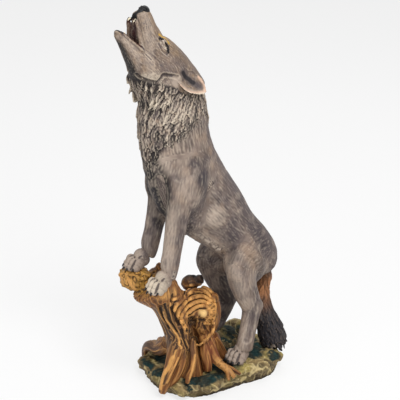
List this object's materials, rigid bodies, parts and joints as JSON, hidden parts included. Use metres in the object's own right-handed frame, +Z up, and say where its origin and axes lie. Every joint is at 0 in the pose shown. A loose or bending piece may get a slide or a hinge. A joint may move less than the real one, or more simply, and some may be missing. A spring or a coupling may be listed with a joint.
{
  "type": "howling wolf figurine",
  "caption": "Cast figurine of a howling wolf, head thrown back, fore paws on a gnarled tree stump with spreading roots, on an oval rocky base.",
  "frame": {"origin": "centre of the base's flat underside, on the surface the figurine stands on", "axes": "+Z up, -Y the way the wolf faces, +X to the wolf's left"},
  "size_m": [0.2236, 0.3703, 0.7552],
  "materials": {
    "painted_resin": "hand-painted cast resin, matt: grey-brown fur, dark legs and back, gold-brown wood, dark green and ochre ground"
  },
  "bodies": {
    "root": {"wolf_figurine": "painted_resin"}
  },
  "joints": []
}
